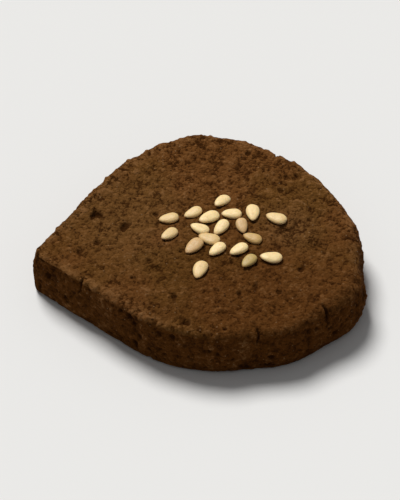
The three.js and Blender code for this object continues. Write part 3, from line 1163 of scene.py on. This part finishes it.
@dataclass(frozen=True)
class CrumbFinish:
    """Dark baked finger millet dough: matt and sandy, with specks of bran and pale flour."""

    speckle: bpy.types.NodeTree
    sand: bpy.types.NodeTree
    grain: bpy.types.NodeTree

    # The colours.
    warm: Colour = (0.145, 0.0568, 0.0142)
    olive: Colour = (0.130, 0.0562, 0.0124)
    pale: Colour = (0.255, 0.122, 0.044)
    deep: Colour = (0.034, 0.0108, 0.0020)
    # Darker and redder than the top: partly the wall's own crust, partly painted shade.
    crust_and_shade: Colour = (0.096, 0.0310, 0.0050)
    base: Colour = (0.082, 0.0275, 0.0050)
    bran: Colour = (0.022, 0.0085, 0.0035)
    flour: Colour = (0.30, 0.185, 0.095)

    # The surface.
    roughness: Ramp = Ramp(-0.4, 0.4, start=0.82, end=0.98)
    gloss: float = 0.015
    diffuse_roughness: float = 0.3
    bump_height: float = 0.0002
    bump_weights: tuple[float, ...] = (1.0, 0.7, 0.4)

    # The patterns, by how many there are of each to a metre.
    broad_scale: float = 75.0
    mottle_scale: float = 520.0
    sand_scales: tuple[float, float] = (1700.0, 3300.0)
    grain_scale: float = 2300.0
    bran_specks: Specks = Specks(1050.0, 0.16, 0.24, 0.75)
    flour_specks: Specks = Specks(1500.0, 0.1, 0.22, 0.55)

    # Where each colour lies over the ones before it.
    # Painted light: a paler patch towards the back left, where the edge faces the light.
    painted_left_light: Patch = Patch((-0.011, 0.003, 0.008), Ramp(0.013, 0.004, 0.18))
    # Painted light: a paler patch right of the seeds that lifts the shade of a lump there.
    painted_right_light: Patch = Patch((0.0142, 0.001, 0.009), Ramp(0.0068, 0.0015, 0.33))
    # Painted shade: a darker, redder patch at the front right, where the top turns away from the light.
    painted_front_shade: Patch = Patch((0.010, -0.019, 0.007), Ramp(0.023, 0.005, 0.4))
    warmer: Ramp = Ramp(0.38, 0.62)
    on_wall: Ramp = Ramp(0.25, 0.95, 0.85)
    on_base: Ramp = Ramp(0.3, 0.9, 0.8)
    # Towards pale and deep by the lift: partly painted highlight and painted shade from the relief,
    # partly the dough's own tone.
    raised: Ramp = Ramp(0.0, 0.65, 0.66)
    sunken: Ramp = Ramp(0.0, -0.65, 0.9)
    # The pale rim: partly wear, partly a painted highlight.
    wear_and_highlight: Ramp = Ramp(-0.4, 0.3, 0.52)
    # Painted shade in the open places of the dough.
    painted_pore_shade: Ramp = Ramp(0.0, 0.9, 0.85)

    # The lift, and how the contrast and the brightness change from the front to the back: the change of
    # brightness is painted shade, darker towards the front.
    lift_weights: tuple[float, ...] = (0.38, 0.95, 0.9, 0.55, 0.45)
    lift_middle: float = 0.45
    contrast: Ramp = Ramp(-0.018, 0.016, start=0.85, end=1.1)
    shade: Ramp = Ramp(-0.018, 0.014, start=0.86)

    def material(self) -> bpy.types.Material:
        """The material of the slice.

        A lift, from the relief, the mottling, the grain and the tones of the sand, draws the
        colour of each place towards pale where it is over 0, and towards deep where it is under.
        The relief's share of it is painted light: painted highlight on the crumb's peaks and
        painted shade in its crevices; the rest is the dough's own tone.
        """
        made, sheet = open_material("baked_crumb")
        place = sheet.add("TexCoord").outputs["Object"]
        broad = {"Vector": place, "Scale": self.broad_scale, "Detail": 2.0}
        mottle = {"Vector": place, "Scale": self.mottle_scale, "Detail": 4.0, "Roughness": 0.65}
        broad, mottle = (sheet.add("TexNoise", feed).outputs[0] for feed in (broad, mottle))
        coarse, fine = (
            sheet.group(self.sand, {"Vector": place, "Per Metre": scale}) for scale in self.sand_scales
        )
        grain = {"Vector": place, "Per Metre": self.grain_scale, "Fine Share": 0.6}
        grain = sheet.group(self.grain, grain)[0]
        back = sheet.add("SeparateXYZ", {0: place}).outputs["Y"]

        colour = sheet.mix(sheet.ease(broad, self.warmer), self.olive, self.warm)
        # Two patches of painted light and one of painted shade, laid over the dough's colour.
        for patch, tint in (
            (self.painted_left_light, self.pale),
            (self.painted_right_light, self.pale),
            (self.painted_front_shade, self.crust_and_shade),
        ):
            away = sheet.add("VectorMath", {0: place, 1: patch.middle}, operation="DISTANCE")
            colour = sheet.coat(colour, tint, away.outputs["Value"], patch.ramp)
        # The wall takes the crust colour: partly its own darker, redder tone and partly painted shade.
        colour = sheet.coat(colour, self.crust_and_shade, sheet.mark("side"), self.on_wall)
        colour = sheet.coat(colour, self.base, sheet.mark("foot"), self.on_base)
        # The lift: the relief's share is painted highlight on peaks and painted shade in crevices; the
        # mottling, grain and sand add the dough's own tone.
        parts = (sheet.mark("proud"), mottle, grain, coarse["Tone"], fine["Tone"])
        lift = sheet.math("SUBTRACT", sheet.blend(*zip(parts, self.lift_weights)), self.lift_middle)
        lift = sheet.math("MULTIPLY", lift, sheet.ease(back, self.contrast))
        colour = sheet.coat(colour, self.pale, lift, self.raised)
        colour = sheet.coat(colour, self.deep, lift, self.sunken)
        # The rim is painted pale where the lift is high: partly wear, partly a painted highlight.
        wear_and_highlight = sheet.math("MULTIPLY", sheet.mark("rim"), sheet.ease(lift, self.wear_and_highlight))
        colour = sheet.mix(wear_and_highlight, colour, self.pale)
        for specks, tint in ((self.bran_specks, self.bran), (self.flour_specks, self.flour)):
            pattern = {"Vector": place, "Per Metre": specks.per_metre, "Share": specks.share}
            mask = sheet.group(self.speckle, {**pattern, "Radius": specks.radius})[0]
            colour = sheet.mix(sheet.math("MULTIPLY", mask, specks.strength), colour, tint)
        # Painted shade in the pores, cracks, pinholes and wall pits: the open places are darkened.
        colour = sheet.coat(colour, self.deep, sheet.mark("open"), self.painted_pore_shade)
        # Painted shade: the colour is darkened towards the front of the slice.
        colour = sheet.mix(1.0, colour, sheet.ease(back, self.shade), "MULTIPLY")

        height = sheet.blend(*zip((grain, coarse["Height"], fine["Height"]), self.bump_weights))
        bump = {"Strength": 1.0, "Distance": self.bump_height, "Height": height}
        coat_surface(
            sheet,
            {
                "Base Color": colour,
                "Roughness": sheet.ease(grain, self.roughness),
                "Specular IOR Level": self.gloss,
                "Diffuse Roughness": self.diffuse_roughness,
                "Normal": sheet.add("Bump", bump).outputs["Normal"],
            },
        )
        return made


@dataclass(frozen=True)
class SesameFinish:
    """Hulled sesame: ivory to tan from seed to seed, browner at the tip and along the edges."""

    grain: bpy.types.NodeTree

    # The colours.
    ivory: Colour = (0.93, 0.70, 0.35)
    tan: Colour = (0.56, 0.35, 0.125)
    pink: Colour = (0.63, 0.395, 0.18)
    olive: Colour = (0.48, 0.35, 0.12)
    toast: Colour = (0.30, 0.135, 0.04)

    # The surface.
    roughness: float = 0.45
    gloss: float = 0.4
    glow: float = 0.15
    glow_reach: Colour = (1.0, 0.6, 0.35)
    glow_scale: float = 0.0005
    bump_height: float = 0.00005
    bump_weights: tuple[float, float] = (1.0, 0.8)

    # The patterns, and where each colour lies over the ones before it.
    grain_scale: float = 1800.0
    fibre_scale: float = 3.6
    fibre_stretch: float = 1.8
    apart: float = 90.0
    paler: Ramp = Ramp(0.0, 0.75)
    pinkish: Ramp = Ramp(0.82, 0.92, 0.7)
    greenish: Ramp = Ramp(0.12, 0.05, 0.8)
    fibres: Ramp = Ramp(0.48, 0.75, 0.3)
    grains: Ramp = Ramp(0.02, 0.35, 0.4)
    edges: float = 0.25
    tip: Ramp = Ramp(0.24, 0.06, 0.7)

    def material(self) -> bpy.types.Material:
        """The material of the seeds.

        The fibres run along each seed: they are noise on how far along and across a place is, set
        apart from seed to seed by the seed's own tint.
        """
        made, sheet = open_material("hulled_sesame")
        place = sheet.add("TexCoord").outputs["Object"]
        grain = {"Vector": place, "Per Metre": self.grain_scale, "Fine Share": 0.5}
        grain = sheet.group(self.grain, grain)[0]
        tint, hue, along = sheet.mark("tint"), sheet.mark("hue"), sheet.mark("along")
        skin = {
            0: sheet.math("MULTIPLY", along, self.fibre_stretch),
            1: sheet.mark("across"),
            2: sheet.math("MULTIPLY", tint, self.apart),
        }
        skin = {"Vector": sheet.add("CombineXYZ", skin).outputs[0], "Scale": self.fibre_scale}
        fibre = sheet.add("TexNoise", {**skin, "Detail": 3.0, "Roughness": 0.55}).outputs[0]
        colour = sheet.mix(sheet.ease(tint, self.paler), self.tan, self.ivory)
        for over, mask, ramp in (
            (self.pink, hue, self.pinkish),
            (self.olive, hue, self.greenish),
            (self.tan, fibre, self.fibres),
            (self.tan, grain, self.grains),
        ):
            colour = sheet.coat(colour, over, mask, ramp)
        colour = sheet.mix(sheet.math("MULTIPLY", sheet.mark("edge"), self.edges), colour, self.tan)
        colour = sheet.coat(colour, self.toast, along, self.tip)
        height = sheet.blend(*zip((grain, fibre), self.bump_weights))
        bump = {"Strength": 1.0, "Distance": self.bump_height, "Height": height}
        coat_surface(
            sheet,
            {
                "Base Color": colour,
                "Roughness": self.roughness,
                "Specular IOR Level": self.gloss,
                "Subsurface Weight": self.glow,
                "Subsurface Radius": self.glow_reach,
                "Subsurface Scale": self.glow_scale,
                "Normal": sheet.add("Bump", bump).outputs["Normal"],
            },
        )
        return made


@dataclass(frozen=True)
class FloorFinish:
    """A plain pale studio floor."""

    colour: Colour = (0.80, 0.80, 0.795)
    roughness: float = 0.9
    gloss: float = 0.1

    def material(self) -> bpy.types.Material:
        """The material of the floor."""
        made, sheet = open_material("studio_floor")
        look = {"Base Color": (*self.colour, 1), "Roughness": self.roughness}
        coat_surface(sheet, {**look, "Specular IOR Level": self.gloss})
        return made


# ------------------------------------------------------------------------------------------ studio


@dataclass(frozen=True)
class SoftSun:
    """A broad soft light that falls evenly from one way, with no falloff over the floor."""

    name: str
    azimuth: float
    elevation: float
    softness: float
    power: float
    colour: Colour

    def build(self) -> None:
        """Adds the light."""
        lamp = bpy.data.lights.new(self.name, "SUN")
        lamp.angle = math.radians(self.softness)
        lamp.energy = self.power
        lamp.color = self.colour
        light = bpy.data.objects.new(self.name, lamp)
        away = direction(self.azimuth, self.elevation)
        light.rotation_euler = away.to_track_quat("Z", "Y").to_euler()
        bpy.context.scene.collection.objects.link(light)


def direction(azimuth: float, elevation: float) -> Vector:
    """The way from the object to a camera or light; azimuth 0 is the front, and 90 is +X."""
    turn, lift = math.radians(azimuth), math.radians(elevation)
    return Vector(
        (math.sin(turn) * math.cos(lift), -math.cos(turn) * math.cos(lift), math.sin(lift))
    )


@dataclass
class Studio:
    """The floor, the soft lights and the camera."""

    elevation: float = 48.0
    distance: float = 1.246
    frame_width: float = 0.064
    frame_aspect: float = 400 / 500
    sensor: float = 36.0
    floor_size: float = 12.0
    sky: Colour = (1.0, 1.0, 1.0)
    sky_light: float = 0.2
    sky_seen: float = 0.82
    key: SoftSun = SoftSun("key", -150, 56, 24, 3.15, (1.0, 0.99, 0.97))

    def build(self, target: Vector) -> None:
        """Adds the floor, the lights and the camera, which looks at the target.

        Args:
            target: the middle of the cookie.
        """
        half = self.floor_size / 2
        mesh = bpy.data.meshes.new("studio_floor")
        corners = [(-half, -half, 0), (half, -half, 0), (half, half, 0), (-half, half, 0)]
        mesh.from_pydata(corners, [], [(0, 1, 2, 3)])
        floor = bpy.data.objects.new("studio_floor", mesh)
        floor.data.materials.append(FloorFinish().material())
        bpy.context.scene.collection.objects.link(floor)
        self.key.build()
        self.add_sky()
        self.add_camera(target)
        bpy.context.scene.view_settings.view_transform = "Standard"

    def add_sky(self) -> None:
        """An even pale surrounding that lights softly and looks like the floor."""
        world = bpy.data.worlds.new("studio")
        bpy.context.scene.world = world
        world.use_nodes = True
        sheet = Sheet(world.node_tree)
        seen = sheet.add("LightPath").outputs["Is Camera Ray"]
        power = sheet.add(
            "MapRange", {"Value": seen, "To Min": self.sky_light, "To Max": self.sky_seen}
        ).outputs[0]
        glow = sheet.add("Background", {"Color": (*self.sky, 1), "Strength": power})
        sheet.add("OutputWorld", {"Surface": glow.outputs[0]})

    def add_camera(self, target: Vector) -> None:
        """The camera of the photograph's viewing angle, drawn in on the cookie."""
        lens = bpy.data.cameras.new("camera")
        lens.sensor_width = self.sensor
        frame_height = self.frame_width / self.frame_aspect
        lens.lens = self.sensor * self.distance / frame_height
        camera = bpy.data.objects.new("camera", lens)
        away = direction(0, self.elevation)
        camera.location = target + away * self.distance
        camera.rotation_euler = away.to_track_quat("Z", "Y").to_euler()
        bpy.context.scene.collection.objects.link(camera)
        bpy.context.scene.camera = camera


# -------------------------------------------------------------------------------------------- main


def set_over(target: Vector, pieces: list[bpy.types.Object]) -> None:
    """Moves the pieces' meshes so that the middle of their box is over a target."""
    corners = np.concatenate([corners_of(piece) for piece in pieces])
    middle = (corners.min(axis=0) + corners.max(axis=0)) / 2
    shift = np.array(target)[:2] - middle[:2]
    for piece in pieces:
        moved = corners_of(piece)
        moved[:, :2] += shift
        piece.data.vertices.foreach_set("co", moved.astype(np.float32).ravel())
        piece.data.update()


def corners_of(piece: bpy.types.Object) -> Array:
    """The corners of a piece's mesh, in metres."""
    found = np.empty(len(piece.data.vertices) * 3, dtype=np.float32)
    piece.data.vertices.foreach_get("co", found)
    return found.reshape(-1, 3).astype(float)


def main() -> None:
    """Builds the cookie and the studio round it."""
    logging.basicConfig(level=logging.INFO, format="%(name)s: %(message)s")
    dough, seeds = CookieSlice(), SesamePinch()
    grain = grain_group()
    finishes = (CrumbFinish(speckle_group(), sand_group(), grain), SesameFinish(grain))
    pieces = [dough.build(seeds), seeds.build(dough)]
    low, high = (Vector(corner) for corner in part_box("cookie"))
    set_over((low + high) / 2, pieces)
    for part, piece, finish in zip((dough, seeds), pieces, finishes):
        part.dress(piece, finish.material())
        log.info("%s: %d faces", piece.name, len(piece.data.polygons))
    Studio().build((low + high) / 2)


if __name__ == "__main__":
    main()
